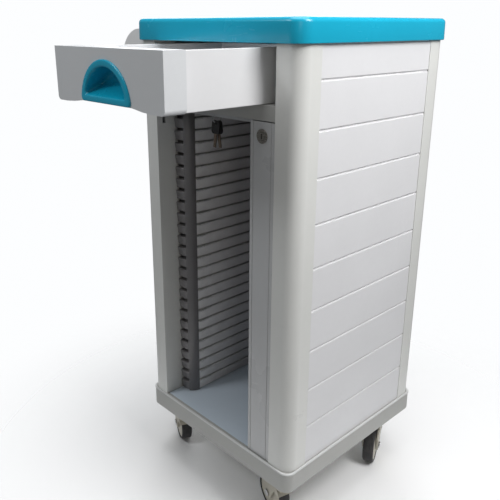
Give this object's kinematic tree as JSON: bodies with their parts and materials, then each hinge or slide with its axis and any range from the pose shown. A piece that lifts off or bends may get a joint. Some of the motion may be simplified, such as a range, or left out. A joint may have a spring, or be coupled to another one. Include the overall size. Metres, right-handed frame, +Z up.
{
  "type": "medical record trolley",
  "caption": "Moulded record trolley on swivel castors with slotted record bay, parked folding door with cam lock, top drawer, blue cap and side push handle.",
  "frame": {"origin": "on the floor, at the centre of the cabinet's footprint between the four castors", "axes": "+Z up, -Y out of the front (the drawer and record bay side), -X towards the push handle"},
  "size_m": [0.512, 0.6711, 1.002],
  "materials": {
    "column_abs": "satin moulded ABS",
    "panel_abs": "fine-textured ABS sheet",
    "grey_abs": "satin grey ABS",
    "blue_abs": "glossy blue ABS",
    "liner_abs": "satin grey ABS",
    "floor_abs": "satin blue-grey sheet",
    "castor_plastic": "moulded nylon",
    "tyre_rubber": "black thermoplastic rubber",
    "bright_steel": "nickel plated",
    "zinc_steel": "zinc plated",
    "key_black": "black moulded head"
  },
  "bodies": {
    "cabinet": {"base_plinth": "grey_abs", "bay_floor": "floor_abs", "front_left_column": "column_abs", "front_right_column": "column_abs", "rear_left_column": "column_abs", "rear_right_column": "column_abs", "left_side_panel": "panel_abs", "right_side_panel": "panel_abs", "rear_panel": "panel_abs", "top_cap": "blue_abs", "top_deck": "grey_abs", "front_rail": "grey_abs", "drawer_deck": "grey_abs", "left_slot_back": "liner_abs", "left_slot_ledges": "liner_abs", "right_slot_back": "liner_abs", "right_slot_ledges": "liner_abs", "left_drawer_runner": "zinc_steel", "right_drawer_runner": "zinc_steel", "upper_door_track": "zinc_steel", "lock_strike": "zinc_steel", "handle_brackets": "column_abs", "push_handle_tube": "bright_steel", "frame_screws": "bright_steel", "castor_plates": "zinc_steel", "key_hook": "bright_steel"},
    "drawer": {"drawer_front": "grey_abs", "drawer_box": "column_abs", "drawer_pull": "blue_abs", "drawer_slides": "column_abs"},
    "door_leaf_1": {"door_leaf_1": "panel_abs"},
    "door_leaf_2": {"door_leaf_2": "panel_abs"},
    "door_leaf_3": {"door_leaf_3": "panel_abs"},
    "door_leaf_4": {"door_leaf_4": "panel_abs"},
    "door_leaf_5": {"door_leaf_5": "panel_abs"},
    "door_leaf_6": {"door_leaf_6": "panel_abs"},
    "door_stile": {"door_stile": "grey_abs", "lock_barrel": "bright_steel"},
    "lock_plug": {"lock_plug": "bright_steel", "lock_tongue": "zinc_steel"},
    "front_left_castor": {"front_left_yoke": "castor_plastic", "front_left_axle": "bright_steel"},
    "front_left_wheel": {"front_left_hub": "castor_plastic", "front_left_tyre": "tyre_rubber"},
    "front_left_brake": {"front_left_brake": "castor_plastic"},
    "front_right_castor": {"front_right_yoke": "castor_plastic", "front_right_axle": "bright_steel"},
    "front_right_wheel": {"front_right_hub": "castor_plastic", "front_right_tyre": "tyre_rubber"},
    "front_right_brake": {"front_right_brake": "castor_plastic"},
    "rear_left_castor": {"rear_left_yoke": "castor_plastic", "rear_left_axle": "bright_steel"},
    "rear_left_wheel": {"rear_left_hub": "castor_plastic", "rear_left_tyre": "tyre_rubber"},
    "rear_right_castor": {"rear_right_yoke": "castor_plastic", "rear_right_axle": "bright_steel"},
    "rear_right_wheel": {"rear_right_hub": "castor_plastic", "rear_right_tyre": "tyre_rubber"},
    "key_pair": {"key_ring": "bright_steel", "keys": "key_black"}
  },
  "joints": [
    {"name": "drawer_slide", "type": "slide", "parent": "cabinet", "child": "drawer", "axis": [0, -1, 0], "range_m": [-0.215, 0.025]},
    {"name": "door_fold", "type": "hinge", "parent": "cabinet", "child": "door_leaf_1", "pos_m": [0.162, -0.194, 0.5], "axis": [0, 0, 1], "range_deg": [0, 80]},
    {"name": "leaf_hinge_2", "type": "hinge", "parent": "door_leaf_1", "child": "door_leaf_2", "pos_m": [0.153, -0.1414, 0.5], "axis": [0, 0, 1], "range_deg": [-160, 0]},
    {"name": "leaf_hinge_3", "type": "hinge", "parent": "door_leaf_2", "child": "door_leaf_3", "pos_m": [0.144, -0.194, 0.5], "axis": [0, 0, 1], "range_deg": [0, 160]},
    {"name": "leaf_hinge_4", "type": "hinge", "parent": "door_leaf_3", "child": "door_leaf_4", "pos_m": [0.135, -0.1414, 0.5], "axis": [0, 0, 1], "range_deg": [-160, 0]},
    {"name": "leaf_hinge_5", "type": "hinge", "parent": "door_leaf_4", "child": "door_leaf_5", "pos_m": [0.126, -0.194, 0.5], "axis": [0, 0, 1], "range_deg": [0, 160]},
    {"name": "leaf_hinge_6", "type": "hinge", "parent": "door_leaf_5", "child": "door_leaf_6", "pos_m": [0.117, -0.1414, 0.5], "axis": [0, 0, 1], "range_deg": [-160, 0]},
    {"name": "stile_hinge", "type": "hinge", "parent": "door_leaf_6", "child": "door_stile", "pos_m": [0.108, -0.194, 0.5], "axis": [0, 0, 1], "range_deg": [0, 80]},
    {"name": "lock_turn", "type": "hinge", "parent": "door_stile", "child": "lock_plug", "pos_m": [0.133, -0.2, 0.811], "axis": [0, 1, 0], "range_deg": [0, 90]},
    {"name": "front_left_swivel", "type": "hinge", "parent": "cabinet", "child": "front_left_castor", "pos_m": [-0.1615, -0.1615, 0.105], "axis": [0, 0, 1], "continuous": true},
    {"name": "front_left_roll", "type": "hinge", "parent": "front_left_castor", "child": "front_left_wheel", "pos_m": [-0.19476, -0.14528, 0.0425], "axis": [0.4384, 0.8988, 0], "continuous": true},
    {"name": "front_left_brake_press", "type": "hinge", "parent": "front_left_castor", "child": "front_left_brake", "pos_m": [-0.2379, -0.12424, 0.0725], "axis": [0.4384, 0.8988, 0], "range_deg": [-14, 0]},
    {"name": "front_right_swivel", "type": "hinge", "parent": "cabinet", "child": "front_right_castor", "pos_m": [0.1615, -0.1615, 0.105], "axis": [0, 0, 1], "continuous": true},
    {"name": "front_right_roll", "type": "hinge", "parent": "front_right_castor", "child": "front_right_wheel", "pos_m": [0.12576, -0.15192, 0.0425], "axis": [0.2588, 0.9659, 0], "continuous": true},
    {"name": "front_right_brake_press", "type": "hinge", "parent": "front_right_castor", "child": "front_right_brake", "pos_m": [0.0794, -0.1395, 0.0725], "axis": [0.2588, 0.9659, 0], "range_deg": [-14, 0]},
    {"name": "rear_left_swivel", "type": "hinge", "parent": "cabinet", "child": "rear_left_castor", "pos_m": [-0.1615, 0.1615, 0.105], "axis": [0, 0, 1], "continuous": true},
    {"name": "rear_left_roll", "type": "hinge", "parent": "rear_left_castor", "child": "rear_left_wheel", "pos_m": [-0.17655, 0.1953, 0.0425], "axis": [0.9135, 0.4067, 0], "continuous": true},
    {"name": "rear_right_swivel", "type": "hinge", "parent": "cabinet", "child": "rear_right_castor", "pos_m": [0.1615, 0.1615, 0.105], "axis": [0, 0, 1], "continuous": true},
    {"name": "rear_right_roll", "type": "hinge", "parent": "rear_right_castor", "child": "rear_right_wheel", "pos_m": [0.17684, 0.12783, 0.0425], "axis": [-0.91, -0.4147, 0], "continuous": true},
    {"name": "key_swing", "type": "hinge", "parent": "cabinet", "child": "key_pair", "pos_m": [-0.063, -0.141, 0.828], "axis": [0, 1, 0], "range_deg": [-25, 25]}
  ],
  "couplings": [
    {"joint": "leaf_hinge_2", "follows": "door_fold", "ratio": -2},
    {"joint": "leaf_hinge_3", "follows": "door_fold", "ratio": 2},
    {"joint": "leaf_hinge_4", "follows": "door_fold", "ratio": -2},
    {"joint": "leaf_hinge_5", "follows": "door_fold", "ratio": 2},
    {"joint": "leaf_hinge_6", "follows": "door_fold", "ratio": -2},
    {"joint": "stile_hinge", "follows": "door_fold", "ratio": 1}
  ]
}
